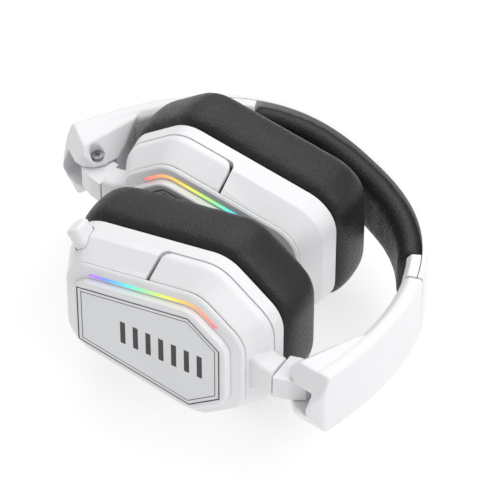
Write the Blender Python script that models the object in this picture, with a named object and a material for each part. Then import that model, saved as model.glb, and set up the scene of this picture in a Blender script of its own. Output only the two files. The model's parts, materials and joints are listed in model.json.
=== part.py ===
"""Folding wireless gaming headset, modelled folded flat and lying on its rear side.

+X is the wearer's left, +Y the crown and +Z the front of the headset. The left cup is folded
over the right one, which lies inside the headband. Lengths here are millimetres, scaled by MM.

A cup is modelled once, in a frame on its fold hinge: X runs along the cup from its bottom end
to its hinge, Y from its outer face towards the head, and Z to the front. The right cup is the
mirror image of the left one, without the microphone and the controls.
"""

import math

import bmesh
import bpy
from mathutils import Matrix, Vector

MM = 0.001
GAP = 0.3  # between pieces that touch

# Where the folded headset stands: the offset that centres its box over the origin
ROOT_OFFSET = (0.0, -21.15, 41.8)

# Headband: a superellipse in plan, measured from the line through the two fold hinges
BAND_HALF_WIDTH = 92.0
BAND_RISE = 124.0
BAND_CENTRE_Y = -31.0
BAND_POWER = 2.5
BAND_HALF_HEIGHT = 15.3
SEAM_Y = 65.0  # the slider arms leave the headband here
CUSHION_END_Y = 75.3
ARM_END_Y = -9.0
RAIL_OFFSET = -4.6  # the straight slider rail, in from the outer surface at the seam

# Fold hinges
HINGE_X = 72.6
HINGE_Y = 2.7
LEFT_ANGLE = math.radians(22.9)  # direction from the cup's bottom end to its hinge
RIGHT_ANGLE = math.radians(203.3)
HINGE_S = 110.6  # the hinge, along the cup from its bottom end
HINGE_T = 16.5  # the hinge, inward from the cup's outer face
PIN_RADIUS = 1.5
SLOT_HALF = 5.8
BLOCK_HALF = 5.3
SWIVEL_T = 11.5
POST_RADIUS = 2.4

# Cup outline: a hexagon, half of it given as (along the cup, half height)
CUP_CORNERS = ((0.0, 27.3), (71.5, 40.6), (97.1, 20.9))
CUP_CORNER_RADIUS = 16.0
CORNER_STEPS = 3
YOKE_END_S = 45.8
YOKE_STEP_S = 44.6
LIGHT_START_S = 19.0
LIGHT_END = 0.6  # how far along the upper chamfer the light strip ends
DRIVER_S = 50.0
PAD_DEPTH = 51.6

# Front face of the cup, as (depth from the outer face, inset from the outline)
FLANK_FRONT = (6.2, 6.5)
FLANK_BACK = (19.3, 1.7)

WHITE = (0.86, 0.86, 0.87)
BLACK = (0.025, 0.025, 0.027)
STEEL = (0.62, 0.62, 0.64)

collections = {}
materials = {}


# ---------------------------------------------------------------- scene helpers


def clear_scene():
    for obj in list(bpy.data.objects):
        bpy.data.objects.remove(obj)


def collection(name):
    if name not in collections:
        made = bpy.data.collections.new(name)
        bpy.context.scene.collection.children.link(made)
        collections[name] = made
    return collections[name]


def material(name, colour, roughness=0.4, metallic=0.0):
    if name not in materials:
        made = bpy.data.materials.new(name)
        made.use_nodes = True
        shader = made.node_tree.nodes["Principled BSDF"]
        shader.inputs["Base Color"].default_value = (*colour, 1.0)
        shader.inputs["Roughness"].default_value = roughness
        shader.inputs["Metallic"].default_value = metallic
        materials[name] = made
    return materials[name]


def white_plastic():
    return material("white_plastic", WHITE, 0.38)


def empty(name, parent=None, location=(0, 0, 0), angle=0.0):
    """A joint's frame, with its origin on the joint's axis."""
    made = bpy.data.objects.new(name, None)
    made.empty_display_size = 0.01
    collection("folding_gaming_headset").objects.link(made)
    made.parent = parent
    made.location = Vector(location) * MM
    made.rotation_euler = (0, 0, angle)
    bpy.context.view_layer.update()
    return made


def add_object(name, bm, look, group="folding_gaming_headset"):
    """Turns a bmesh in millimetres into an object in metres, with its faces pointing out."""
    bmesh.ops.remove_doubles(bm, verts=bm.verts, dist=0.001)
    bmesh.ops.recalc_face_normals(bm, faces=bm.faces)
    bmesh.ops.scale(bm, vec=(MM, MM, MM), verts=bm.verts)
    mesh = bpy.data.meshes.new(name)
    bm.to_mesh(mesh)
    bm.free()
    mesh.shade_smooth()
    mesh.set_sharp_from_angle(angle=math.radians(30))
    obj = bpy.data.objects.new(name, mesh)
    collection(group).objects.link(obj)
    if look:
        mesh.materials.append(look)
    return obj


def cutter(name, bm):
    obj = add_object(name, bm, None, "cutters")
    obj.hide_render = True
    obj.display_type = "WIRE"
    return obj


def boolean(obj, operation, *tools):
    for tool in tools:
        step = obj.modifiers.new(operation.title(), "BOOLEAN")
        step.operation = operation
        step.object = tool
        step.solver = "EXACT"


def bake(obj):
    """Applies the modifiers, so that the mesh can be mirrored."""
    bpy.context.view_layer.update()
    graph = bpy.context.evaluated_depsgraph_get()
    mesh = bpy.data.meshes.new_from_object(obj.evaluated_get(graph))
    obj.modifiers.clear()
    obj.data = mesh
    mesh.shade_smooth()
    mesh.set_sharp_from_angle(angle=math.radians(30))
    return obj


def mirrored(obj, name, axis):
    """A mirror-image copy, as its own mesh with its faces still pointing out."""
    mesh = obj.data.copy()
    flip = Vector((1, 1, 1))
    flip[axis] = -1
    mesh.transform(Matrix.Diagonal((*flip, 1)))
    mesh.flip_normals()
    copy = bpy.data.objects.new(name, mesh)
    collection("folding_gaming_headset").objects.link(copy)
    return copy


def turned_over(obj, name):
    """The same moulding used on the other side: a copy turned half round about Y."""
    mesh = obj.data.copy()
    mesh.transform(Matrix.Rotation(math.pi, 4, "Y"))
    copy = bpy.data.objects.new(name, mesh)
    collection("folding_gaming_headset").objects.link(copy)
    return copy


def hold(obj, parent, frame=None):
    """Parents obj, whose mesh is in the frame of an empty, which is the parent itself by default."""
    frame = frame or parent
    obj.parent = parent
    obj.matrix_parent_inverse = parent.matrix_world.inverted() @ frame.matrix_world
    return obj


# ---------------------------------------------------------------- mesh helpers


def loft(rings, closed=False, caps=True):
    """A skin through rings of equal length. A closed loft joins its last ring to its first."""
    bm = bmesh.new()
    rows = [[bm.verts.new(point) for point in ring] for ring in rings]
    pairs = list(zip(rows, rows[1:]))
    if closed:
        pairs.append((rows[-1], rows[0]))
    for low, high in pairs:
        for i in range(len(low)):
            j = (i + 1) % len(low)
            bm.faces.new((low[i], low[j], high[j], high[i]))
    if caps and not closed:
        bm.faces.new(rows[0])
        bm.faces.new(rows[-1])
    return bm


def prism(outline, low, high):
    """An outline in plan, extruded along Z."""
    return loft([[(x, y, z) for x, y in outline] for z in (low, high)])


def box(low, high):
    bm = bmesh.new()
    size = [b - a for a, b in zip(low, high)]
    middle = [(a + b) / 2 for a, b in zip(low, high)]
    move = Matrix.Translation(middle) @ Matrix.Diagonal((*size, 1))
    bmesh.ops.create_cube(bm, size=1, matrix=move)
    return bm


def cylinder(radius, low, high, centre=(0, 0), axis="Z", sides=20):
    """A cylinder along an axis. centre is in the other two axes, in X, Y, Z order."""
    bm = bmesh.new()
    turn = {
        "Z": Matrix.Identity(4),
        "Y": Matrix.Rotation(math.radians(-90), 4, "X"),
        "X": Matrix.Rotation(math.radians(90), 4, "Y"),
    }[axis]
    middle = list(centre)
    middle.insert("XYZ".index(axis), (low + high) / 2)
    bmesh.ops.create_cone(
        bm,
        cap_ends=True,
        segments=sides,
        radius1=radius,
        radius2=radius,
        depth=high - low,
        matrix=Matrix.Translation(middle) @ turn,
    )
    return bm


def joined(*parts):
    """Several separate bodies in one mesh, for cutters only."""
    whole = bmesh.new()
    for part in parts:
        mesh = bpy.data.meshes.new("part")
        part.to_mesh(mesh)
        part.free()
        whole.from_mesh(mesh)
        bpy.data.meshes.remove(mesh)
    return whole


# ---------------------------------------------------------------- cup outline


def inset_corners(inset):
    """The outline's six corners, moved inward by inset."""
    half = list(CUP_CORNERS)
    corners = [Vector(p) for p in half] + [Vector((s, -z)) for s, z in reversed(half)]
    moved = []
    for i, corner in enumerate(corners):
        before = (corner - corners[i - 1]).normalized()
        after = (corners[(i + 1) % len(corners)] - corner).normalized()
        inward_a = Vector((before.y, -before.x))
        inward_b = Vector((after.y, -after.x))
        bisector = inward_a + inward_b
        moved.append(corner + bisector * (inset / bisector.dot(inward_a)))
    return moved


def cup_outline(inset, cut=None):
    """The rounded outline as (s, z), from the bottom front corner round the top.

    With cut, only the part above s = cut is returned, starting and ending on the long edges.
    """
    corners = inset_corners(inset)
    radius = max(CUP_CORNER_RADIUS - inset, 2.0)
    points = []
    for i, corner in enumerate(corners):
        before = (corners[i - 1] - corner).normalized()
        after = (corners[(i + 1) % len(corners)] - corner).normalized()
        half_angle = before.angle(after) / 2
        centre = corner + (before + after).normalized() * (radius / math.sin(half_angle))
        start = corner + before * (radius / math.tan(half_angle)) - centre
        stop = corner + after * (radius / math.tan(half_angle)) - centre
        sweep = start.angle_signed(stop)
        for step in range(CORNER_STEPS + 1):
            turn = Matrix.Rotation(-sweep * step / CORNER_STEPS, 2)
            points.append(centre + turn @ start)
    if cut is None:
        return [tuple(p) for p in points]
    per_corner = CORNER_STEPS + 1
    low, high = corners[0], corners[1]
    on_edge = low.lerp(high, (cut - low.x) / (high.x - low.x))
    upper = [tuple(p) for p in points[per_corner : 5 * per_corner]]
    return [tuple(on_edge), *upper, (on_edge.x, -on_edge.y)]


def cup_ring(depth, inset):
    """The outline at a depth from the cup's outer face, in the hinge's frame."""
    return [(s - HINGE_S, depth - HINGE_T, z) for s, z in cup_outline(inset)]


def cup_solid(levels):
    return loft([cup_ring(depth, inset) for depth, inset in levels])


def light_path(inset, cut):
    """The part of the outline that the light follows: the front edge and part of the chamfer."""
    path = [Vector(p) for p in cup_outline(inset, cut)[: CORNER_STEPS + 3]]
    end = LIGHT_END if cut > LIGHT_START_S else LIGHT_END + 0.02
    path[-1] = path[-2].lerp(path[-1], end)
    return path


def cup_band(section, cut, path=cup_outline):
    """A (depth, inset) section swept round the top of the cup, or along another path."""
    paths = [[(s, depth, z) for s, z in path(inset, cut)] for depth, inset in section]
    rings = []
    for row in zip(*paths):
        rings.append([(s - HINGE_S, depth - HINGE_T, z) for s, depth, z in row])
    return loft(rings)


# ---------------------------------------------------------------- headband curve


def band_point(angle, offset=0.0):
    """A point of the headband's plan curve, offset along its outward normal."""
    c, s = math.cos(angle), math.sin(angle)
    power = 2 / BAND_POWER
    x = BAND_HALF_WIDTH * math.copysign(abs(c) ** power, c)
    y = BAND_RISE * math.copysign(abs(s) ** power, s)
    slope = BAND_POWER - 1
    normal = Vector(
        (
            math.copysign(abs(x / BAND_HALF_WIDTH) ** slope, x) / BAND_HALF_WIDTH,
            math.copysign(abs(y / BAND_RISE) ** slope, y) / BAND_RISE,
        )
    ).normalized()
    return Vector((x, y + BAND_CENTRE_Y)) + normal * offset


def band_angle(height):
    """The curve's angle, on the left side, at a height over the hinge line."""
    ratio = (height - BAND_CENTRE_Y) / BAND_RISE
    return math.asin(ratio ** (BAND_POWER / 2))


def band_sweep(section, start, stop, count):
    """A section of (offset, z) points swept along the headband's curve between two angles."""
    rings = []
    for i in range(count + 1):
        angle = start + (stop - start) * i / count
        ring = []
        for offset, z in section:
            point = band_point(angle, offset)
            ring.append((point.x, point.y, z))
        rings.append(ring)
    return loft(rings)


# ---------------------------------------------------------------- headband pieces


def make_headband(root):
    seam = band_angle(SEAM_Y + GAP)
    cushion_end = band_angle(CUSHION_END_Y)
    h = BAND_HALF_HEIGHT
    other = math.pi
    shell_section = [(0, -h + 2.2), (0, h - 2.2), (-1.0, h - 0.5), (-2.6, h), (-2.6, -h), (-1.0, -h + 0.5)]
    shell = add_object("headband_shell", band_sweep(shell_section, seam, other - seam, 34), white_plastic())

    spring_section = [(-3.0, -5), (-3.0, 5), (-3.8, 5), (-3.8, -5)]
    spring_end = band_angle(CUSHION_END_Y + 9)
    spring = band_sweep(spring_section, spring_end, other - spring_end, 20)
    spring = add_object("headband_spring_band", spring, material("spring_steel", STEEL, 0.3, 1.0))

    liner_section = [(-4.2, -12), (-4.2, 12), (-6.0, 12), (-6.0, -12)]
    liner_end = band_angle(CUSHION_END_Y + 7.5)
    liner = band_sweep(liner_section, liner_end, other - liner_end, 20)
    liner = add_object("headband_liner", liner, material("black_plastic", BLACK, 0.5))

    cushion_section = [
        (-2.9, -h), (-2.9, -12.3), (-6.3, -12.3), (-6.3, 12.3), (-2.9, 12.3), (-2.9, h),
        (-8.5, h + 0.2), (-11.5, h - 2.5), (-13.5, 6), (-13.5, -6), (-11.5, -h + 2.5), (-8.5, -h - 0.2),
    ]
    cushion = band_sweep(cushion_section, cushion_end, other - cushion_end, 26)
    cushion = add_object("headband_cushion", cushion, material("leatherette", BLACK, 0.6))

    for piece in (shell, spring, liner, cushion):
        hold(piece, root)


def slide_direction():
    """The left arm's slide: along the headband's chord just above its seam."""
    high = band_point(band_angle(SEAM_Y + 15), RAIL_OFFSET)
    low = band_point(band_angle(SEAM_Y), RAIL_OFFSET)
    return (low - high).normalized()


def rail_frame():
    """Rotation and origin of the straight slider rail: X along the slide, Y outward."""
    direction = slide_direction()
    origin = band_point(band_angle(SEAM_Y), RAIL_OFFSET)
    outward = Vector((-direction.y, direction.x))
    return Matrix(
        (
            (direction.x, outward.x, 0, origin.x),
            (direction.y, outward.y, 0, origin.y),
            (0, 0, 1, 0),
            (0, 0, 0, 1),
        )
    )


def in_rail_frame(bm):
    bmesh.ops.transform(bm, matrix=rail_frame(), verts=bm.verts)
    return bm


def make_end_cover():
    """The inner cover over the headband's left end, with the channel that the rail slides in."""
    h = BAND_HALF_HEIGHT
    seam = band_angle(SEAM_Y + GAP)
    stop = band_angle(CUSHION_END_Y - GAP)
    section = [(-2.9, -h), (-2.9, h), (-7.6, h - 0.3), (-8.8, h - 2.0), (-8.8, -h + 2.0), (-7.6, -h + 0.3)]
    cover = add_object("left_end_cover", band_sweep(section, seam, stop, 6), white_plastic())
    channel = in_rail_frame(box((-60, -0.8, -8.4), (40, 0.8, 8.4)))
    boolean(cover, "DIFFERENCE", cutter("rail_channel", channel))
    return bake(cover)


def make_rail():
    rail = in_rail_frame(box((-22.0, -0.4, -8.0), (12.0, 0.4, 8.0)))
    return add_object("left_slider_rail", rail, material("spring_steel", STEEL, 0.3, 1.0))


# ---------------------------------------------------------------- slider arm and clevis


def clevis_outline():
    """The ears' outline in plan, from inside the arm round the end to the arm's inner face."""
    return [
        (83.0, 30.0), (86.0, 8.0), (85.5, -2.5), (82.5, -5.3), (78.5, -5.6), (73.4, -4.2),
        (70.0, -0.8), (68.9, 3.7), (69.2, 10.0), (71.8, 16.0), (75.6, 22.0), (80.0, 30.0),
    ]


def slab_above(height, across, along, x_zero, y_zero, side):
    """A cutter over the plane z = height + across * (x - x_zero) + along * (y - y_zero)."""

    def plane(x, y):
        return side * (height + across * (x - x_zero) + along * (y - y_zero))

    corners = ((60, -30), (100, -30), (100, 30), (60, 30))
    low = [(x, y, plane(x, y)) for x, y in corners]
    high = [(x, y, z + side * 80) for x, y, z in low]
    return loft([low, high])


def make_slider_arm(screw_side):
    """The left arm, a swept bar that ends in two ears, with the screw's recess at +Z or -Z."""
    h = BAND_HALF_HEIGHT
    section = [
        (0, -h + 2.0), (0, h - 2.4), (-1.6, h - 0.7), (-6.5, h), (-8.0, h - 0.8),
        (-8.6, h - 3), (-8.6, -h + 3), (-8.0, -h + 0.8), (-6.5, -h), (-1.6, -h + 0.6),
    ]
    bar = band_sweep(section, band_angle(SEAM_Y), band_angle(ARM_END_Y), 18)
    arm = add_object("left_slider_arm", bar, white_plastic())
    slot = [(60, -30), (90, -30), (86.0, -9), (86.0, 3), (83.5, 7.5), (79.5, 9.6), (60, 11.5)]
    corner = [(91.0, 0.0), (84.0, -9.0), (84.0, -20.0), (100.0, -20.0), (100.0, 0.0)]
    recess = sorted((screw_side * 8.1, screw_side * 30))
    through = sorted((screw_side * 30, screw_side * -7.6))
    boolean(arm, "UNION", cutter("ears", prism(clevis_outline(), -h + 0.4, h - 0.4)))
    boolean(
        arm,
        "DIFFERENCE",
        cutter("ear_slope_front", slab_above(12.2, 1.2, 0.43, 75.0, 0.0, 1)),
        cutter("ear_slope_rear", slab_above(12.2, 1.2, 0.43, 75.0, 0.0, -1)),
        cutter("nose_front", slab_above(14.0, -0.6, 2.29, 88.0, 0.8, 1)),
        cutter("nose_rear", slab_above(15.0, -0.6, 1.9, 88.0, 0.4, -1)),
        cutter("nose_corner", prism(corner, -40, 40)),
        cutter("knuckle_slot", prism(slot, -SLOT_HALF, SLOT_HALF)),
        cutter("pin_hole", cylinder(PIN_RADIUS + 0.12, *through, (HINGE_X, HINGE_Y))),
        cutter("screw_recess", cylinder(3.0, *recess, (HINGE_X, HINGE_Y))),
        cutter("rail_socket", in_rail_frame(box((-2, -0.7, -8.3), (12.5, 0.7, 8.3)))),
        cutter("cover_recess", cover_shape(0.0)),
    )
    return bake(arm)


def cover_shape(clearance):
    """The arm's inner cover, or with no clearance the recess that it lies in."""
    start = band_angle(50.0 - clearance)
    stop = band_angle(27.0 + clearance)
    half = 10.5 - clearance
    inner = -8.6 if clearance else -12.0
    outer = -6.6 - clearance
    return band_sweep([(outer, -half), (outer, half), (inner, half), (inner, -half)], start, stop, 6)


def make_arm_cover():
    cover = add_object("left_arm_cover", cover_shape(GAP), white_plastic())
    return cover


def make_hinge_pin():
    """The steel pin of the fold hinge, with its screw head at one end."""
    pin = add_object(
        "left_hinge_pin", cylinder(PIN_RADIUS, -8.2, 7.3, (HINGE_X, HINGE_Y), sides=16), material("steel", STEEL, 0.25, 1.0)
    )
    head = cutter("pin_head", cylinder(2.6, -9.9, -8.4, (HINGE_X, HINGE_Y), sides=16))
    boolean(pin, "UNION", cutter("pin_neck", cylinder(PIN_RADIUS, -8.6, -8.0, (HINGE_X, HINGE_Y), sides=16)), head)
    slot = box((HINGE_X - 1.5, HINGE_Y - 0.3, -12), (HINGE_X + 1.5, HINGE_Y + 0.3, -9.3))
    cross = box((HINGE_X - 0.3, HINGE_Y - 1.5, -12), (HINGE_X + 0.3, HINGE_Y + 1.5, -9.3))
    boolean(pin, "DIFFERENCE", cutter("driver_slot", slot), cutter("driver_cross", cross))
    return bake(pin)


# ---------------------------------------------------------------- fold block and yoke


def make_hinge_block():
    """The knuckle between the clevis and the cup, in the hinge's frame."""
    outline = [
        (-8.0, -10.6), (-8.0, 3.4), (-3.5, 4.8), (1.5, 4.9), (4.6, 2.8), (5.6, -1.5), (4.6, -5.5), (-1.5, -8.8),
    ]
    block = add_object("left_hinge_block", prism(outline, -BLOCK_HALF, BLOCK_HALF), white_plastic())
    boolean(
        block,
        "DIFFERENCE",
        cutter("block_pin_hole", cylinder(PIN_RADIUS + 0.08, -20, 20)),
        cutter("block_post_hole", cylinder(POST_RADIUS + 0.1, -20, -2.9, (SWIVEL_T - HINGE_T, 0), axis="X")),
    )
    return bake(block)


def make_swivel_post():
    return add_object(
        "left_swivel_post",
        cylinder(POST_RADIUS, -13.6, -3.2, (SWIVEL_T - HINGE_T, 0), axis="X", sides=16),
        material("steel", STEEL, 0.25, 1.0),
    )


def make_yoke():
    """The U-shaped shell round the cup's top, with the arm that carries it."""
    front, back = FLANK_FRONT, FLANK_BACK
    section = [(front[0], front[1]), (back[0] - GAP, back[1]), (back[0] - GAP, 4.0), (front[0], 8.8)]
    yoke = add_object("left_yoke", cup_band(section, YOKE_END_S), white_plastic())

    def arm_ring(s, depths, half):
        low, high = depths
        corner = 2.2
        profile = [
            (low, -half + corner), (low, half - corner), (low + corner, half), (high - corner, half),
            (high, half - corner), (high, -half + corner), (high - corner, -half), (low + corner, -half),
        ]
        return [(s - HINGE_S, depth - HINGE_T, z) for depth, z in profile]

    arm = loft(
        [
            arm_ring(88.6, (9.5, 18.0), 13.0),
            arm_ring(92.5, (8.0, 18.2), 11.6),
            arm_ring(96.0, (6.6, 18.4), 9.4),
            arm_ring(99.5, (6.0, 18.2), 7.6),
            arm_ring(102.2, (6.8, 18.0), 6.6),
        ]
    )
    boolean(yoke, "UNION", cutter("yoke_arm", arm))
    inside = cup_solid([(2.0, 10.3), (front[0], 8.8), (back[0] - GAP, 4.0), (24.0, 2.4)])
    boolean(
        yoke,
        "DIFFERENCE",
        cutter("yoke_inside", inside),
        cutter("yoke_post_hole", cylinder(POST_RADIUS + 0.12, -14.0, 0, (SWIVEL_T - HINGE_T, 0), axis="X")),
    )
    return bake(yoke)


# ---------------------------------------------------------------- cup pieces


def make_housing():
    """The cup's bowl, with a stepped-down band that the yoke lies in."""
    front, back = FLANK_FRONT, FLANK_BACK
    outside = [(front[0] - 0.2, front[1] + 0.8), (front[0] + 0.1, front[1]), back, (20.0, 1.5), (24.8, 0.1)]
    housing = add_object("left_cup_housing", cup_solid(outside), white_plastic())
    hollow = cup_solid([(8.4, 13.2), (19.5, 7.6), (21.6, 4.4), (27.0, 4.4)])
    recess = cup_band([(4.0, -4.0), (back[0], -4.0), (back[0], 4.5), (4.0, 10.2)], YOKE_STEP_S)
    boolean(housing, "DIFFERENCE", cutter("cup_hollow", hollow), cutter("yoke_recess", recess))
    return housing


def make_bezel():
    """The outer cover: a shallow cone that frames the end plate, with the light's channel."""
    levels = [(3.4, 11.3), (4.8, 6.9), (5.1, 6.9), (5.6, 8.6)]
    bezel = add_object("left_bezel", cup_solid(levels), white_plastic())
    channel = cup_band([(2.0, 9.5), (2.0, 11.6), (4.6, 11.6), (4.6, 9.5)], LIGHT_START_S, light_path)
    boolean(bezel, "DIFFERENCE", cutter("light_channel", channel))
    return bake(bezel)


def make_light_strip():
    look = material("light_diffuser", (0.75, 0.72, 0.95), 0.3)
    section = [(3.0, 9.8), (3.0, 11.3), (4.3, 11.3), (4.3, 9.8)]
    return add_object("left_light_strip", cup_band(section, LIGHT_START_S + GAP, light_path), look)


def make_outer_plate():
    look = material("light_grey_plastic", (0.74, 0.75, 0.77), 0.45)
    return add_object("left_outer_plate", cup_solid([(0.0, 12.4), (0.5, 11.9), (3.1, 11.9)]), look)


def make_baffle():
    """The plate across the cup's mouth that the driver is fixed to."""
    baffle = add_object("left_baffle", cup_solid([(22.2, 4.9), (24.4, 4.9)]), material("black_plastic", BLACK, 0.5))
    at = (DRIVER_S - HINGE_S, 0)
    boolean(
        baffle,
        "DIFFERENCE",
        cutter("driver_opening", cylinder(21.0, 0, 15, at, axis="Y", sides=32)),
    )
    return bake(baffle)


def turned_about_driver(name, profile, look, steps=28):
    """A profile of (radius, depth) turned about the driver's axis."""
    bm = bmesh.new()
    points = [bm.verts.new((radius, 0, -depth)) for radius, depth in profile]
    for a, b in zip(points, points[1:]):
        bm.edges.new((a, b))
    bmesh.ops.spin(
        bm,
        geom=bm.verts[:] + bm.edges[:],
        axis=(0, 0, 1),
        cent=(0, 0, 0),
        angle=2 * math.pi,
        steps=steps,
        use_merge=True,
    )
    bmesh.ops.remove_doubles(bm, verts=bm.verts, dist=0.001)
    turn = Matrix.Translation((DRIVER_S - HINGE_S, -HINGE_T, 0)) @ Matrix.Rotation(math.radians(90), 4, "X")
    bmesh.ops.transform(bm, matrix=turn, verts=bm.verts)
    return add_object(name, bm, look)


def make_driver():
    """The 50 mm loudspeaker's basket and cone, as one turned body."""
    profile = [(0, 16.4), (11.6, 16.4), (12.4, 18.0), (20.0, 19.2), (25.0, 20.4), (25.0, 21.9), (20.5, 21.9), (14, 20.6), (0, 19.4)]
    return turned_about_driver("left_driver", profile, material("driver_black", (0.05, 0.05, 0.055), 0.4))


def make_magnet():
    profile = [(0, 11.0), (11.0, 11.0), (11.6, 11.6), (11.6, 16.1), (0, 16.1)]
    return turned_about_driver("left_driver_magnet", profile, material("steel", STEEL, 0.25, 1.0), 24)


def make_grille():
    """The perforated guard over the driver."""
    at = (DRIVER_S - HINGE_S, 0)
    y = 22.4 - HINGE_T
    grille = add_object("left_driver_grille", cylinder(20.6, y, y + 1.2, at, axis="Y", sides=32), material("dark_mesh", BLACK, 0.5))
    holes = []
    for ring, count in ((6.5, 6), (13.5, 12)):
        for i in range(count):
            angle = 2 * math.pi * i / count
            centre = (at[0] + ring * math.cos(angle), ring * math.sin(angle))
            holes.append(cylinder(1.9, y - 3, y + 4, centre, axis="Y", sides=8))
    boolean(grille, "DIFFERENCE", cutter("grille_holes", joined(*holes)))
    return bake(grille)


def make_ear_pad():
    """The ring-shaped ear cushion, plain and closed."""
    section = [
        (25.1, 0.8), (28.5, -1.9), (37.0, -2.3), (47.0, -1.3), (50.7, 2.3), (PAD_DEPTH, 6.8),
        (50.0, 11.0), (45.5, 14.0), (32.0, 15.5), (25.1, 14.5),
    ]
    rings = [cup_ring(depth, inset) for depth, inset in section]
    return add_object("left_ear_pad", loft(rings, closed=True), material("leatherette", BLACK, 0.6))


def make_ear_mesh():
    """The thin cloth inside the ear opening, in front of the baffle."""
    look = material("acoustic_cloth", (0.03, 0.03, 0.032), 0.9)
    return add_object("left_ear_mesh", cup_solid([(25.2, 15.2), (26.0, 15.2)]), look)


# ---------------------------------------------------------------- left-cup extras

MIC_ANGLE = math.radians(55)  # from straight down the cup towards the front
MIC_S, MIC_T, MIC_Z = 12.1, 16.0, 20.4  # where the boom's axis enters the cup's corner
MIC_HALF_WIDTH = 3.4
MIC_HALF_DEPTH = 5.0
MIC_INSIDE = 20.0  # length of boom inside the cup when it is pushed in


def mic_frame():
    """X out along the boom, Y towards the head, Z across the boom."""
    along = Vector((-math.cos(MIC_ANGLE), 0, math.sin(MIC_ANGLE)))
    across = along.cross(Vector((0, 1, 0)))
    frame = Matrix.Identity(4)
    for column, axis in enumerate((along, Vector((0, 1, 0)), across)):
        for row in range(3):
            frame[row][column] = axis[row]
    frame.translation = (MIC_S - HINGE_S, MIC_T - HINGE_T, MIC_Z)
    return frame


def mic_bar(low, high, grow=0.0, round_tip=True):
    """A bar of rounded section along the boom's axis."""

    def ring(x, shrink):
        half_y = MIC_HALF_DEPTH + grow - shrink
        half_z = MIC_HALF_WIDTH + grow - shrink
        corner = 2.0
        points = []
        for k in range(16):
            angle = 2 * math.pi * (k + 0.5) / 16
            y = math.copysign(half_y - corner, math.cos(angle)) + corner * math.cos(angle)
            z = math.copysign(half_z - corner, math.sin(angle)) + corner * math.sin(angle)
            points.append((x, y, z))
        return points

    rings = [ring(low, 0), ring(high - 1.0, 0), ring(high, 0.8)] if round_tip else [ring(low, 0), ring(high, 0)]
    bm = loft(rings)
    bmesh.ops.transform(bm, matrix=mic_frame(), verts=bm.verts)
    return bm


def make_left_extras(housing, fold, swivel, mic):
    """The microphone, the controls, the sockets and the circuit board of the left cup."""
    black = material("black_plastic", BLACK, 0.5)
    steel = material("steel", STEEL, 0.25, 1.0)
    boolean(housing, "DIFFERENCE", cutter("mic_passage", mic_bar(-26, 30, 0.35, False)))

    boom = add_object("mic_boom", mic_bar(-MIC_INSIDE, 12.6), white_plastic())
    hold(boom, mic, fold)

    # Controls stand on the rear long edge of the cup, below the yoke's rear end.
    low, high = inset_corners(4.0)[5], inset_corners(4.0)[4]
    edge = (high - low).normalized()
    outward = Vector((edge.y, -edge.x))

    def edge_frame(s, depth):
        """X along the edge, Y towards the head, Z out of the cup, on the rear flank."""
        spot = low + edge * ((s - low.x) / edge.x)
        frame = Matrix.Identity(4)
        for column, axis in enumerate(((edge.x, 0, edge.y), (0, 1, 0), (outward.x, 0, outward.y))):
            for row in range(3):
                frame[row][column] = axis[row]
        frame.translation = (spot.x - HINGE_S, depth - HINGE_T, spot.y)
        return frame

    def placed(bm, s, depth=12.5):
        bmesh.ops.transform(bm, matrix=edge_frame(s, depth), verts=bm.verts)
        return bm

    def control_axis(name, s, lift=0.0):
        """An empty on a control's own axis, which is held by the cup."""
        at = edge_frame(s, 12.5) @ Vector((0, 0, lift))
        at.y -= SWIVEL_T - HINGE_T
        return empty(name + "_axis", swivel, at)

    spots = {"power_button": 10.0, "mute_button": 18.5}
    for name, s in spots.items():
        boolean(housing, "DIFFERENCE", cutter(name + "_hole", placed(cylinder(2.75, -8, 8, sides=20), s)))
        button = add_object(name, placed(cylinder(2.4, -4.2, 1.3, sides=20), s), white_plastic())
        hold(button, control_axis(name, s), fold)

    wheel_s = 30.0
    boolean(
        housing,
        "DIFFERENCE",
        cutter("wheel_slot", placed(box((-6.2, -2.0, -9), (6.2, 2.0, 8)), wheel_s)),
        cutter("axle_hole", placed(cylinder(1.35, -3.9, 3.9, (0, -4.6), axis="Y", sides=12), wheel_s)),
    )
    wheel = cylinder(5.6, -1.5, 1.5, (0, -4.6), axis="Y", sides=28)
    wheel = add_object("volume_wheel", placed(wheel, wheel_s), black)
    boolean(wheel, "DIFFERENCE", cutter("wheel_bore", placed(cylinder(1.4, -3, 3, (0, -4.6), axis="Y", sides=12), wheel_s)))
    hold(bake(wheel), control_axis("volume_wheel", wheel_s, -4.6), fold)
    axle = cylinder(1.2, -3.6, 3.6, (0, -4.6), axis="Y", sides=12)
    axle = add_object("volume_wheel_axle", placed(axle, wheel_s), steel)
    hold(axle, swivel, fold)

    # Charging and audio sockets in the bottom end
    for name, z, half, radius, wall, look in (
        ("usb_c_socket", -0.5, 2.87, 1.6, 0.32, steel),
        ("audio_jack", -9.8, 0.0, 2.9, 1.1, black),
    ):
        boolean(housing, "DIFFERENCE", cutter(name + "_hole", pill_bar(z, half, radius + 0.25, -9.0, 14.0)))
        socket = add_object(name, pill_bar(z, half, radius, 4.9, 11.4), look)
        inside = pill_bar(z, half, radius - wall, 0.0, 10.6)
        boolean(socket, "DIFFERENCE", cutter(name + "_mouth", inside))
        hold(bake(socket), swivel, fold)

    board = box((26 - HINGE_S, 9.0 - HINGE_T, -14), (78 - HINGE_S, 10.6 - HINGE_T, 14))
    board = add_object("main_board", board, material("circuit_board", (0.02, 0.16, 0.07), 0.5))
    hold(board, swivel, fold)
    bake(housing)
    return housing


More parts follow.
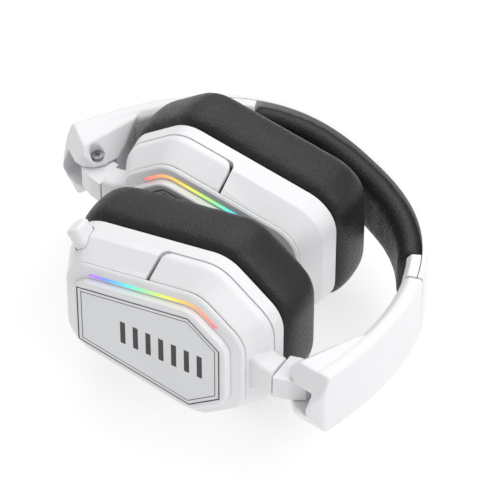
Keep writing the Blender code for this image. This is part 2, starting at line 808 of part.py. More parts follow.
def pill_bar(z, half, radius, low, high):
    """A bar along the cup's length with a round-ended section, in the cup's bottom wall."""
    points = []
    for k in range(16):
        angle = 2 * math.pi * (k + 0.5) / 16
        depth = 13.0 + radius * math.sin(angle)
        across = z + math.copysign(half, math.cos(angle)) + radius * math.cos(angle)
        if not half:
            across = z + radius * math.cos(angle)
        points.append((depth - HINGE_T, across))
    rings = []
    for s in (low, high):
        rings.append([(s - HINGE_S, y, across) for y, across in points])
    return loft(rings)


def make_battery():
    shape = box((63.5 - HINGE_S, 10.0 - HINGE_T, -15), (79 - HINGE_S, 16.0 - HINGE_T, 15))
    return add_object("battery", shape, material("battery_wrap", (0.10, 0.18, 0.42), 0.5))


# ---------------------------------------------------------------- assembly


def main():
    clear_scene()
    root = empty("headset", None, ROOT_OFFSET)
    slide_left = empty("left_slide_axis", root, (*band_point(band_angle(SEAM_Y), RAIL_OFFSET), 0))
    slide_right = empty("right_slide_axis", root, (-slide_left.location.x / MM, slide_left.location.y / MM, 0))
    frames = {}
    for side, slide, sign, angle in (("left", slide_left, 1, LEFT_ANGLE), ("right", slide_right, -1, RIGHT_ANGLE)):
        at = Vector((sign * HINGE_X, HINGE_Y, 0)) - slide.location / MM
        fold = empty(side + "_fold_axis", slide, at, angle)
        swivel = empty(side + "_swivel_axis", fold, (0, sign * (SWIVEL_T - HINGE_T), 0))
        frames[side] = (slide, fold, swivel)

    make_headband(root)
    for piece in (make_end_cover(),):
        hold(piece, root)
        hold(mirrored(piece, piece.name.replace("left", "right"), 0), root)

    hold(make_slider_arm(-1), slide_left, root)
    reversed_arm = make_slider_arm(1)
    hold(mirrored(reversed_arm, "right_slider_arm", 0), slide_right, root)
    bpy.data.objects.remove(reversed_arm)
    for piece in (make_arm_cover(), make_rail(), make_hinge_pin()):
        copy = turned_over(piece, piece.name.replace("left", "right"))
        hold(piece, slide_left, root)
        hold(copy, slide_right, root)

    block = make_hinge_block()
    hold(mirrored(block, "right_hinge_block", 1), frames["right"][1])
    hold(block, frames["left"][1])

    housing = make_housing()
    cup_pieces = [
        make_swivel_post(), make_yoke(), make_bezel(), make_light_strip(), make_outer_plate(), make_baffle(),
        make_driver(), make_magnet(), make_grille(), make_ear_pad(), make_ear_mesh(),
    ]
    for piece in cup_pieces:
        copy = mirrored(piece, piece.name.replace("left", "right"), 1)
        hold(copy, frames["right"][2], frames["right"][1])
        hold(piece, frames["left"][2], frames["left"][1])

    plain = housing.copy()
    collection("cutters").objects.link(plain)
    right_housing = mirrored(bake(plain), "right_cup_housing", 1)
    bpy.data.objects.remove(plain)
    hold(right_housing, frames["right"][2], frames["right"][1])

    mic_at = mic_frame().translation
    mic = empty("mic_slide_axis", frames["left"][2], (mic_at.x, mic_at.y - (SWIVEL_T - HINGE_T), mic_at.z))
    make_left_extras(housing, frames["left"][1], frames["left"][2], mic)
    hold(housing, frames["left"][2], frames["left"][1])

    battery = make_battery()
    copy = mirrored(battery, "battery", 1)
    bpy.data.objects.remove(battery)
    copy.name = "battery"
    hold(copy, frames["right"][2], frames["right"][1])


main()
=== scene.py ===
"""The looks of the folded wireless gaming headset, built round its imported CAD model.

A cup's pieces are made in cup coordinates, in millimetres: s along the cup from its bottom end to
its hinge, t from its outer face towards the head, and z to the front. A headband piece is made in
band coordinates, with its origin midway between the two fold hinges.
"""

import json
import math

import bmesh
import bpy
from mathutils import Matrix, Vector

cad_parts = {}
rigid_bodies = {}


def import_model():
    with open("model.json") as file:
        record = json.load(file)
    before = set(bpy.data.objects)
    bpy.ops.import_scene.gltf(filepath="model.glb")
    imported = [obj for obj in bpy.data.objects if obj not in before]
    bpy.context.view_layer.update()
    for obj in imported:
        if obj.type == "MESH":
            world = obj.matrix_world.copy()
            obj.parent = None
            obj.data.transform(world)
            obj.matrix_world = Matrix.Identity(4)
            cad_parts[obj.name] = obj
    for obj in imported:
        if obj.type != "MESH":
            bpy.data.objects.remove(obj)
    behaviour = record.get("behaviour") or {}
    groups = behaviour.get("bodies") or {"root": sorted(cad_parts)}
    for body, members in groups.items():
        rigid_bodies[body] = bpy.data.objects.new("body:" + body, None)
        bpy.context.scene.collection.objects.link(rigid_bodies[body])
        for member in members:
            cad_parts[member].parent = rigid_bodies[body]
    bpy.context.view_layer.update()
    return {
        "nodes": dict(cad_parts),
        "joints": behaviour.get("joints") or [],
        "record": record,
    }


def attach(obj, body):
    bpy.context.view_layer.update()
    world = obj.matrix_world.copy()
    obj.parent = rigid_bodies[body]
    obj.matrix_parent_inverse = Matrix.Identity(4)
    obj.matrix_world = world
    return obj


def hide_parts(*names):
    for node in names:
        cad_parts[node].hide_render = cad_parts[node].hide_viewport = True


for leftover in list(bpy.data.objects):
    bpy.data.objects.remove(leftover)
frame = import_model()

MM = 0.001
GAP = 0.3  # between neighbouring mouldings

JOINTS = {joint["name"]: joint for joint in frame["joints"]}
HINGE = {side: Vector(JOINTS[side + "_fold"]["pos_m"]) for side in ("left", "right")}
HINGE_Y = 2.7
HINGE_X = HINGE["left"].x / MM
BAND_ORIGIN = Vector((0, HINGE["left"].y - HINGE_Y * MM, HINGE["left"].z))
HINGE_S = 110.6
HINGE_T = 16.5
SWIVEL_T = 11.5
PIN_RADIUS = 1.5
SWIVEL_BORE = 2.5

# The headband is a superellipse, widest at BAND_CENTRE_Y
BAND_HALF_WIDTH = 92.0
BAND_RISE = 124.0
BAND_CENTRE_Y = -31.0
BAND_POWER = 2.5
BAND_HALF_HEIGHT = 15.3
SEAM_Y = 65.0
CUSHION_END_Y = 75.3
ARM_END_Y = -9.0
SLOT_HALF = 5.8
BLOCK_HALF = 5.3

# The cup's outline: its front corners as (s, z), which are mirrored for the rear ones
CUP_CORNERS = ((0.0, 27.3), (71.5, 40.6), (97.1, 20.9))
CUP_CORNER_RADIUS = 16.0
CORNER_STEPS = 9
YOKE_END_S = 45.8
STUB_START_S, STUB_END_S, STUB_STEPS = 87.0, 102.2, 14
LIGHT_START_S = 19.0
LIGHT_END = 0.6  # the share of the last straight edge that the light covers
CHANNEL_OVERRUN = 0.02

# The cup's flank, as (t, inset from the outline)
FLANK_FRONT = (6.2, 6.5)
FLANK_CREASE = (15.7, 1.5)
FLANK_BACK = (19.3, 1.1)

MIC_ANGLE = math.radians(55)
MIC_S, MIC_T, MIC_Z = 12.1, 16.0, 20.4

# The controls on the left cup's rear edge
POWER_S, MUTE_S, WHEEL_S = 10.0, 18.5, 30.0
CONTROL_T = 12.5
SOCKET_T = 13.0
BUTTON_RADIUS, BUTTON_HOLE = 2.4, 2.75
WHEEL_RADIUS, WHEEL_BORE, WHEEL_DEPTH = 5.6, 1.4, -4.6
WHEEL_SIDES, WHEEL_RIB = 96, 0.955

# The print on the end plates
PRINT_LEVEL = -0.03
PRINT_FRAMES = ((15.0, 0.6), (17.0, 0.35))  # (inset, width)
PRINT_BARS = 7
PRINT_BAR_PITCH = 6.0
PRINT_BAR_WIDTH = 2.4
PRINT_BAR_HEIGHT = 12.0


# ---------------------------------------------------------------- frames


def from_axes(x, y, z, origin):
    """The matrix with these axes and this origin as its columns."""
    matrix = Matrix.Identity(4)
    for column, axis in enumerate((x, y, z, origin)):
        for row in range(3):
            matrix[row][column] = axis[row]
    return matrix


def cup_matrix(side):
    """Cup coordinates in millimetres to the row frame in metres. The right is a mirror image."""
    along = Vector(JOINTS[side + "_swivel"]["axis"])
    hand = 1 if side == "left" else -1
    inward = Vector((-along.y, along.x, 0)) * hand
    origin = HINGE[side] - along * HINGE_S * MM - inward * HINGE_T * MM
    return from_axes(along * MM, inward * MM, (0, 0, MM), origin)


def band_matrix(side="left"):
    """Band coordinates in millimetres to the row frame. The right arm is a mirror image."""
    hand = 1 if side == "left" else -1
    return Matrix.Translation(BAND_ORIGIN) @ Matrix.Diagonal((hand * MM, MM, MM, 1))


CUP = {side: cup_matrix(side) for side in ("left", "right")}


# ---------------------------------------------------------------- mesh helpers


def loft(rings, closed=False, caps=True):
    bm = bmesh.new()
    rows = [[bm.verts.new(point) for point in ring] for ring in rings]
    pairs = list(zip(rows, rows[1:]))
    if closed:
        pairs.append((rows[-1], rows[0]))
    for low, high in pairs:
        for i in range(len(low)):
            j = (i + 1) % len(low)
            bm.faces.new((low[i], low[j], high[j], high[i]))
    if caps and not closed:
        bm.faces.new(rows[0])
        bm.faces.new(rows[-1])
    return bm


def box(low, high):
    bm = bmesh.new()
    size = [b - a for a, b in zip(low, high)]
    middle = [(a + b) / 2 for a, b in zip(low, high)]
    place = Matrix.Translation(middle) @ Matrix.Diagonal((*size, 1))
    bmesh.ops.create_cube(bm, size=1, matrix=place)
    return bm


def cylinder(radius, low, high, centre=(0, 0), axis="Z", sides=40):
    bm = bmesh.new()
    turn = {
        "Z": Matrix.Identity(4),
        "Y": Matrix.Rotation(math.radians(-90), 4, "X"),
        "X": Matrix.Rotation(math.radians(90), 4, "Y"),
    }[axis]
    middle = list(centre)
    middle.insert("XYZ".index(axis), (low + high) / 2)
    bmesh.ops.create_cone(
        bm,
        cap_ends=True,
        segments=sides,
        radius1=radius,
        radius2=radius,
        depth=high - low,
        matrix=Matrix.Translation(middle) @ turn,
    )
    return bm


def make(name, bm, smooth_angle=35):
    """Turns a bmesh in its own millimetre coordinates into an object, still in millimetres."""
    bmesh.ops.remove_doubles(bm, verts=bm.verts, dist=0.001)
    bmesh.ops.recalc_face_normals(bm, faces=bm.faces)
    mesh = bpy.data.meshes.new(name)
    bm.to_mesh(mesh)
    bm.free()
    mesh.shade_smooth()
    mesh.set_sharp_from_angle(angle=math.radians(smooth_angle))
    obj = bpy.data.objects.new(name, mesh)
    bpy.context.scene.collection.objects.link(obj)
    return obj


def apply_modifiers(obj):
    bpy.context.view_layer.update()
    graph = bpy.context.evaluated_depsgraph_get()
    mesh = bpy.data.meshes.new_from_object(obj.evaluated_get(graph))
    obj.modifiers.clear()
    old = obj.data
    obj.data = mesh
    bpy.data.meshes.remove(old)
    return obj


def boolean(obj, operation, *parts):
    """Adds, cuts or intersects bmeshes, and applies the result."""
    tools = [make("tool", part) for part in parts]
    for tool in tools:
        step = obj.modifiers.new(operation, "BOOLEAN")
        step.operation = operation
        step.object = tool
        step.solver = "EXACT"
    apply_modifiers(obj)
    for tool in tools:
        mesh = tool.data
        bpy.data.objects.remove(tool)
        bpy.data.meshes.remove(mesh)


def bevelled(obj, width, segments=2, angle=35):
    step = obj.modifiers.new("bevel", "BEVEL")
    step.width = width
    step.segments = segments
    step.limit_method = "ANGLE"
    step.angle_limit = math.radians(angle)
    step.use_clamp_overlap = True
    step.miter_outer = "MITER_ARC"
    apply_modifiers(obj)
    obj.data.shade_smooth()
    obj.data.set_sharp_from_angle(angle=math.radians(50))


def softened(obj, voxel, rounds, factor=0.5):
    """Rounds every edge of a moulding: an even remesh, then smoothing."""
    remesh = obj.modifiers.new("remesh", "REMESH")
    remesh.mode = "VOXEL"
    remesh.voxel_size = voxel
    remesh.use_smooth_shade = True
    smooth = obj.modifiers.new("smooth", "SMOOTH")
    smooth.factor = factor
    smooth.iterations = rounds
    return apply_modifiers(obj)


def paint_gap_shade(obj, inside):
    """Gives the faces where inside(s, t, z) holds the second of the object's materials: here
    always the dark grey painted shade.
    """
    for face in obj.data.polygons:
        if inside(*face.center):
            face.material_index = 1


def finished(obj, matrix, look, body, slot, *nodes):
    """Moves a piece to the row frame, gives it its look and lets it stand for its CAD nodes."""
    obj.data.transform(matrix)
    if matrix.determinant() < 0:
        obj.data.flip_normals()
    marks = [face.material_index for face in obj.data.polygons]
    obj.data.materials.clear()
    for each in look if isinstance(look, (list, tuple)) else [look]:
        obj.data.materials.append(each)
    obj.data.polygons.foreach_set("material_index", marks)
    if look not in (LEATHER, CLOTH):
        even = obj.modifiers.new("normals", "WEIGHTED_NORMAL")
        even.keep_sharp = True
        even.weight = 80
        apply_modifiers(obj)
    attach(obj, body)
    if nodes:
        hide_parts(*nodes)
    return obj


def rounded(points, steps=5, closed=True):
    """A 2D outline of (x, y, radius) corners with its corners turned into arcs."""
    out = []
    count = len(points)
    for i, (x, y, radius) in enumerate(points):
        corner = Vector((x, y))
        if not radius or (not closed and i in (0, count - 1)):
            out.append((x, y))
            continue
        before = Vector(points[i - 1][:2]) - corner
        after = Vector(points[(i + 1) % count][:2]) - corner
        half = before.angle(after) / 2
        reach = min(radius / math.tan(half), 0.49 * before.length, 0.49 * after.length)
        r = reach * math.tan(half)
        before.normalize()
        after.normalize()
        centre = corner + (before + after).normalized() * (r / math.sin(half))
        start = corner + before * reach - centre
        stop = corner + after * reach - centre
        sweep = start.angle_signed(stop)
        for k in range(steps + 1):
            point = centre + Matrix.Rotation(-sweep * k / steps, 2) @ start
            out.append((point.x, point.y))
    return out


# ---------------------------------------------------------------- cup outline


def inset_corners(inset):
    """The outline's six corners as (s, z), moved inwards."""
    corners = [Vector(p) for p in CUP_CORNERS]
    corners += [Vector((s, -z)) for s, z in reversed(CUP_CORNERS)]
    moved = []
    for i, corner in enumerate(corners):
        before = (corner - corners[i - 1]).normalized()
        after = (corners[(i + 1) % len(corners)] - corner).normalized()
        inward_a = Vector((before.y, -before.x))
        inward_b = Vector((after.y, -after.x))
        bisector = inward_a + inward_b
        moved.append(corner + bisector * (inset / bisector.dot(inward_a)))
    return moved


def cup_outline(inset, steps=CORNER_STEPS):
    """The rounded outline as (s, z), from the bottom front corner round the top."""
    radius = max(CUP_CORNER_RADIUS - 0.45 * inset, 2.0)
    corners = [(c.x, c.y, radius) for c in inset_corners(inset)]
    return rounded(corners, steps)


def subdivided(points, longest):
    """Adds points to the straight stretches of a closed outline."""
    out = []
    for i, point in enumerate(points):
        a, b = Vector(point), Vector(points[(i + 1) % len(points)])
        parts = max(1, math.ceil((b - a).length / longest))
        out += [tuple(a.lerp(b, k / parts)) for k in range(parts)]
    return out


def depth_inside(s, z):
    """How far a point lies inside the cup's unrounded outline."""
    corners = inset_corners(0)
    depth = 99.0
    for i, corner in enumerate(corners):
        edge = (corner - corners[i - 1]).normalized()
        depth = min(depth, Vector((edge.y, -edge.x)).dot(Vector((s, z)) - corners[i - 1]))
    return depth


def cup_ring(t, inset, steps=CORNER_STEPS):
    return [(s, t, z) for s, z in cup_outline(inset, steps)]


def cup_solid(levels, steps=CORNER_STEPS):
    return loft([cup_ring(t, inset, steps) for t, inset in levels])


def open_outline(inset, cut, steps=CORNER_STEPS):
    """The part of the outline above s = cut, from the front edge to the rear one."""
    points = cup_outline(inset, steps)
    low, high = inset_corners(inset)[:2]
    on_edge = low.lerp(high, (cut - low.x) / (high.x - low.x))
    upper = points[steps + 1 : 5 * (steps + 1)]
    return [tuple(on_edge), *upper, (on_edge.x, -on_edge.y)]


def cup_band(section, cut, path=open_outline):
    """A (t, inset) section swept along the outline above s = cut."""
    paths = [[(s, t, z) for s, z in path(inset, cut)] for t, inset in section]
    return loft([list(row) for row in zip(*paths)])


def light_path(inset, cut):
    """The stretch of the outline that the light follows; its channel runs on a little further."""
    path = [Vector(p) for p in open_outline(inset, cut)[: CORNER_STEPS + 3]]
    end = LIGHT_END if cut > LIGHT_START_S else LIGHT_END + CHANNEL_OVERRUN
    path[-1] = path[-2].lerp(path[-1], end)
    return [tuple(p) for p in path]


# ---------------------------------------------------------------- headband curve

SWEEP_SAMPLES = 600


def band_point(angle, offset=0.0):
    c, s = math.cos(angle), math.sin(angle)
    power = 2 / BAND_POWER
    x = BAND_HALF_WIDTH * math.copysign(abs(c) ** power, c)
    y = BAND_RISE * math.copysign(abs(s) ** power, s)
    slope = BAND_POWER - 1
    normal = Vector(
        (
            math.copysign(abs(x / BAND_HALF_WIDTH) ** slope, x) / BAND_HALF_WIDTH,
            math.copysign(abs(y / BAND_RISE) ** slope, y) / BAND_RISE,
        )
    ).normalized()
    return Vector((x, y + BAND_CENTRE_Y)) + normal * offset


def band_angle(height):
    ratio = (height - BAND_CENTRE_Y) / BAND_RISE
    return math.asin(ratio ** (BAND_POWER / 2))


def band_sweep(section, start, stop, count):
    """A section of (offset, z) points swept between two of the curve's angles, evenly along it."""
    fine = [start + (stop - start) * i / SWEEP_SAMPLES for i in range(SWEEP_SAMPLES + 1)]
    points = [band_point(angle) for angle in fine]
    lengths = [0.0]
    for a, b in zip(points, points[1:]):
        lengths.append(lengths[-1] + (b - a).length)
    rings = []
    index = 0
    for i in range(count + 1):
        want = lengths[-1] * i / count
        while index < SWEEP_SAMPLES - 1 and lengths[index + 1] < want:
            index += 1
        span = lengths[index + 1] - lengths[index]
        angle = fine[index] + (fine[index + 1] - fine[index]) * (want - lengths[index]) / span
        ring = []
        for offset, z in section:
            point = band_point(angle, offset)
            ring.append((point.x, point.y, z))
        rings.append(ring)
    return loft(rings)


# ---------------------------------------------------------------- materials


def new_material(name):
    made = bpy.data.materials.new(name)
    made.use_nodes = True
    nodes = made.node_tree.nodes
    return made, nodes, made.node_tree.links, nodes["Principled BSDF"]


def object_noise(nodes, links, scale, detail=4.0, roughness=0.5):
    place = nodes.new("ShaderNodeTexCoord")
    texture = nodes.new("ShaderNodeTexNoise")
    texture.inputs["Scale"].default_value = scale
    texture.inputs["Detail"].default_value = detail
    texture.inputs["Roughness"].default_value = roughness
    links.new(place.outputs["Object"], texture.inputs["Vector"])
    return texture.outputs["Fac"]


def ranged(nodes, links, value, low, high):
    step = nodes.new("ShaderNodeMapRange")
    step.inputs["From Min"].default_value = 0.3
    step.inputs["From Max"].default_value = 0.7
    step.inputs["To Min"].default_value = low
    step.inputs["To Max"].default_value = high
    links.new(value, step.inputs["Value"])
    return step.outputs["Result"]


def mixed(nodes, links, value, dark, light):
    ramp = nodes.new("ShaderNodeValToRGB")
    ramp.color_ramp.elements[0].position = 0.3
    ramp.color_ramp.elements[1].position = 0.7
    ramp.color_ramp.elements[0].color = (*dark, 1)
    ramp.color_ramp.elements[1].color = (*light, 1)
    links.new(value, ramp.inputs["Fac"])
    return ramp.outputs["Color"]


def bump(nodes, links, shader, height, strength, distance):
    step = nodes.new("ShaderNodeBump")
    step.inputs["Strength"].default_value = strength
    step.inputs["Distance"].default_value = distance
    links.new(height, step.inputs["Height"])
    links.new(step.outputs["Normal"], shader.inputs["Normal"])


def plastic(name, dark, light, rough, grain, depth, metallic=0.0):
    """Moulded plastic or metal: faint colour drift, uneven gloss and a fine surface grain."""
    made, nodes, links, shader = new_material(name)
    drift = object_noise(nodes, links, 40)
    links.new(mixed(nodes, links, drift, dark, light), shader.inputs["Base Color"])
    gloss = object_noise(nodes, links, 260)
    links.new(ranged(nodes, links, gloss, *rough), shader.inputs["Roughness"])
    shader.inputs["Metallic"].default_value = metallic
    fine = object_noise(nodes, links, grain, 2.0)
    bump(nodes, links, shader, fine, 0.25, depth)
    return made


def leatherette():
    """Black leatherette: a pebble grain of small cells, with shinier crests."""
    made, nodes, links, shader = new_material("black_leatherette")
    place = nodes.new("ShaderNodeTexCoord")
    warp = nodes.new("ShaderNodeTexNoise")
    warp.inputs["Scale"].default_value = 700
    links.new(place.outputs["Object"], warp.inputs["Vector"])
    shift = nodes.new("ShaderNodeVectorMath")
    shift.operation = "MULTIPLY_ADD"
    shift.inputs[1].default_value = (0.0005, 0.0005, 0.0005)
    links.new(warp.outputs["Color"], shift.inputs[0])
    links.new(place.outputs["Object"], shift.inputs[2])
    cells = nodes.new("ShaderNodeTexVoronoi")
    cells.feature = "SMOOTH_F1"
    cells.inputs["Scale"].default_value = 1250
    cells.inputs["Smoothness"].default_value = 0.6
    links.new(shift.outputs["Vector"], cells.inputs["Vector"])
    folds = object_noise(nodes, links, 420, 3.0, 0.5)
    both = nodes.new("ShaderNodeMath")
    both.operation = "MULTIPLY_ADD"
    both.inputs[1].default_value = -1.0
    links.new(cells.outputs["Distance"], both.inputs[0])
    links.new(folds, both.inputs[2])
    bump(nodes, links, shader, both.outputs["Value"], 0.45, 0.0004)
    drift = object_noise(nodes, links, 60)
    colour = mixed(nodes, links, drift, (0.005, 0.005, 0.0055), (0.009, 0.009, 0.0095))
    links.new(colour, shader.inputs["Base Color"])
    gloss = ranged(nodes, links, cells.outputs["Distance"], 0.36, 0.50)
    links.new(gloss, shader.inputs["Roughness"])
    shader.inputs["Specular IOR Level"].default_value = 0.4
    shader.inputs["Sheen Weight"].default_value = 0.06
    shader.inputs["Sheen Roughness"].default_value = 0.5
    return made


# The strip's colours, as (distance along the cup, colour)
LIGHT_COLOURS = (
    (20.3, (0.50, 0.22, 1.0)),
    (26.3, (0.22, 0.30, 1.0)),
    (32.3, (0.12, 0.60, 1.0)),
    (37.8, (0.10, 0.92, 0.85)),
    (44.3, (0.30, 1.0, 0.42)),
    (51.3, (0.66, 0.96, 0.18)),
    (57.3, (0.98, 0.85, 0.12)),
    (64.8, (1.0, 0.60, 0.14)),
    (71.3, (1.0, 0.40, 0.18)),
    (78.3, (1.0, 0.20, 0.22)),
)


def light_guide(side):
    """The lit strip: its colour runs along the cup, as the row of lights behind it does."""
    made, nodes, links, shader = new_material(side + "_light_guide")
    place = nodes.new("ShaderNodeTexCoord")
    along = nodes.new("ShaderNodeVectorMath")
    along.operation = "DOT_PRODUCT"
    axis = Vector(JOINTS[side + "_swivel"]["axis"])
    along.inputs[1].default_value = axis
    links.new(place.outputs["Object"], along.inputs[0])
    first, last = LIGHT_COLOURS[0][0], LIGHT_COLOURS[-1][0]
    share = nodes.new("ShaderNodeMapRange")
    share.inputs["From Min"].default_value = (CUP[side] @ Vector((first, 0, 0))).dot(axis)
    share.inputs["From Max"].default_value = (CUP[side] @ Vector((last, 0, 0))).dot(axis)
    links.new(along.outputs["Value"], share.inputs["Value"])
    ramp = nodes.new("ShaderNodeValToRGB")
    elements = ramp.color_ramp.elements
    for end, (_, colour) in zip(elements, (LIGHT_COLOURS[0], LIGHT_COLOURS[-1])):
        end.color = (*colour, 1)
    for place_along, colour in LIGHT_COLOURS[1:-1]:
        elements.new((place_along - first) / (last - first)).color = (*colour, 1)
    links.new(share.outputs["Result"], ramp.inputs["Fac"])
    links.new(ramp.outputs["Color"], shader.inputs["Emission Color"])
    shader.inputs["Base Color"].default_value = (0.05, 0.05, 0.05, 1)
    shader.inputs["Emission Strength"].default_value = 1.05
    shader.inputs["Roughness"].default_value = 0.45
    return made


def woven(name, dark, light, pitch):
    """A fine knit: two crossing waves, with a little unevenness."""
    made, nodes, links, shader = new_material(name)
    place = nodes.new("ShaderNodeTexCoord")
    waves = []
    for direction in ("X", "Z"):
        wave = nodes.new("ShaderNodeTexWave")
        wave.bands_direction = direction
        wave.inputs["Scale"].default_value = 1 / (pitch * 20)
        wave.inputs["Distortion"].default_value = 0.4
        links.new(place.outputs["Object"], wave.inputs["Vector"])
        waves.append(wave.outputs["Fac"])
    both = nodes.new("ShaderNodeMath")
    both.operation = "MULTIPLY"
    links.new(waves[0], both.inputs[0])
    links.new(waves[1], both.inputs[1])
    links.new(mixed(nodes, links, both.outputs["Value"], dark, light), shader.inputs["Base Color"])
    bump(nodes, links, shader, both.outputs["Value"], 0.6, 0.0003)
    shader.inputs["Roughness"].default_value = 0.9
    shader.inputs["Sheen Weight"].default_value = 0.3
    return made


WHITE = plastic(
    "white_moulding",
    dark=(0.80, 0.805, 0.82),
    light=(0.83, 0.835, 0.85),
    rough=(0.30, 0.36),
    grain=2500,
    depth=0.000005,
)
GREY = plastic(
    "grey_moulding",
    dark=(0.74, 0.75, 0.77),
    light=(0.77, 0.78, 0.80),
    rough=(0.42, 0.52),
    grain=2500,
    depth=0.000008,
)
INK = plastic(
    "printed_ink",
    dark=(0.032, 0.032, 0.034),
    light=(0.05, 0.05, 0.053),
    rough=(0.55, 0.65),
    grain=2500,
    depth=0.000003,
)
# Painted shade: a dark grey laid on the gaps and recess floors round the yoke, where only shadow
# falls
SHADOW = plastic(
    "painted_gap_shade",
    dark=(0.07, 0.07, 0.073),
    light=(0.10, 0.10, 0.104),
    rough=(0.6, 0.7),
    grain=2500,
    depth=0.00002,
)
BLACK = plastic(
    "black_moulding",
    dark=(0.02, 0.02, 0.021),
    light=(0.03, 0.03, 0.032),
    rough=(0.42, 0.55),
    grain=2500,
    depth=0.00003,
)
STEEL = plastic(
    "dark_steel",
    dark=(0.20, 0.20, 0.21),
    light=(0.28, 0.28, 0.29),
    rough=(0.32, 0.42),
    grain=1800,
    depth=0.00001,
    metallic=1.0,
)
BOARD = plastic(
    "solder_mask",
    dark=(0.015, 0.12, 0.05),
    light=(0.025, 0.18, 0.08),
    rough=(0.3, 0.4),
    grain=900,
    depth=0.00004,
)
WRAP = plastic(
    "battery_film",
    dark=(0.08, 0.15, 0.36),
    light=(0.12, 0.20, 0.46),
    rough=(0.3, 0.4),
    grain=600,
    depth=0.00003,
)
LEATHER = leatherette()
CLOTH = woven(
    "acoustic_knit",
    dark=(0.012, 0.012, 0.013),
    light=(0.05, 0.05, 0.052),
    pitch=0.0007,
)
SLOT_LOOKS = {
    "white_plastic": WHITE,
    "light_grey_plastic": GREY,
    "light_diffuser": WHITE,
    "leatherette": LEATHER,
    "black_plastic": BLACK,
    "driver_cone": BLACK,
    "dark_mesh": BLACK,
    "acoustic_cloth": CLOTH,
    "steel": STEEL,
    "spring_steel": STEEL,
    "circuit_board": BOARD,
    "battery_wrap": WRAP,
}


def dress_cad_nodes():
    slots = {entry["node"]: entry["material_slot"] for entry in frame["record"]["subparts"]}
    for name, node in frame["nodes"].items():
        node.data.materials.clear()
        node.data.materials.append(SLOT_LOOKS[slots[name]])


# ---------------------------------------------------------------- cup mouldings


def make_housing(side):
    """The cup's bowl: its flank and the band by the cushion meet in a soft crease."""
    front, back = FLANK_FRONT, FLANK_BACK
    profile = [
        (front[0] - 0.2, front[1] + 0.15, 0),
        (front[0] - 0.1, front[1], 0.1),
        (*FLANK_CREASE, 3.0),
        (24.7, 0.3, 0.5),
        (24.8, 2.5, 0),
    ]
    levels = rounded(profile, 5, closed=False)
    housing = make(side + "_housing_shell", cup_solid(levels))
    hollow = cup_solid([(8.4, 13.2), (19.5, 7.6), (21.6, 4.4), (27.0, 4.4)], 4)
    deep = back[0] - 0.1
    section = [(4.0, -4.0), (deep, -4.0), (deep, 4.5), (4.0, 10.2)]
    recess = make("tool", cup_band(section, YOKE_END_S - 6))
    boolean(recess, "INTERSECT", yoke_window(GAP + 0.9, 3.4))
    cut = bmesh.new()
    cut.from_mesh(recess.data)
    bpy.data.objects.remove(recess)
    cutters = [hollow, cut]
    if side == "left":
        cutters += [mic_bar(-26, 30, grow=0.35), *control_cutters()]
    boolean(housing, "DIFFERENCE", *cutters)
    bevelled(housing, width=0.3)

    def recess_shade_mask(s, t, z):
        """The floor of the yoke's recess, which is painted dark grey as the shade under the yoke.
        """
        floor = 8.4 - 0.33 * (t - front[0])
        return s > YOKE_END_S - 2.2 and 4.0 < t < 19.0 and depth_inside(s, z) > floor

    # Painted shade: the recess floor under the yoke is given the dark grey
    paint_gap_shade(housing, recess_shade_mask)
    looks = [WHITE, SHADOW]
    return finished(
        housing, CUP[side], looks, side + "_cup", "white_plastic", side + "_cup_housing"
    )


def yoke_window(gap, corner):
    """All above the yoke's lower end, with its inner corner rounded, as a bar across the cup."""
    end = YOKE_END_S - gap
    deep = FLANK_BACK[0] - GAP + gap * 0.3
    points = [
        (120, -5, 0),
        (end - 0.4 - gap * 0.4, -5, 0),
        (end - 0.2 - gap * 0.2, 8.0, 3.0),
        (end, deep, corner),
        (120, deep, 0),
    ]
    outline = rounded(points, 8)
    return loft([[(s, t, z) for s, t in outline] for z in (-60, 60)])


def make_yoke(side):
    """The yoke on the cup's flank, with the flared stub that takes the swivel."""
    front, back = FLANK_FRONT, FLANK_BACK
    section = rounded(
        [
            (front[0], front[1], 0.5),
            (*FLANK_CREASE, 3.0),
            (back[0] - GAP, back[1], 0.6),
            (back[0] - GAP, 4.0, 0),
            (front[0], 8.8, 0),
        ],
        4,
    )
    yoke = make(side + "_yoke_shell", cup_band(section, YOKE_END_S - 6))
    boolean(yoke, "INTERSECT", yoke_window(0.0, 4.2))
    rings = []
    for k in range(STUB_STEPS + 1):
        share = k / STUB_STEPS
        s = STUB_START_S + share * (STUB_END_S - STUB_START_S)
        flare = (1 - share) ** 2.4
        half = 6.8 + 7.2 * flare
        low = 6.0 + 3.0 * flare
        high = 18.0 + 0.4 * math.sin(math.pi * share)
        rings.append(arm_ring(s, low, high, half, 2.4))
    boolean(yoke, "UNION", loft(rings))
    inside = cup_solid([(2.0, 10.3), (front[0], 8.8), (back[0] - GAP, 4.0), (24.0, 2.4)])
    boolean(yoke, "DIFFERENCE", inside, cylinder(SWIVEL_BORE, 96.6, 120, (SWIVEL_T, 0), axis="X"))
    softened(yoke, voxel=0.45, rounds=7)
    # Painted shade: the yoke's underside along its front edge is given the dark grey
    paint_gap_shade(yoke, lambda s, t, z: t < 6.9 and s < 92 and depth_inside(s, z) > 8.8)
    looks = [WHITE, SHADOW]
    return finished(yoke, CUP[side], looks, side + "_cup", "white_plastic", side + "_yoke")


def arm_ring(s, low, high, half, corner):
    profile = rounded(
        [(low, -half, corner), (low, half, corner), (high, half, corner), (high, -half, corner)], 5
    )
    return [(s, t, z) for t, z in profile]


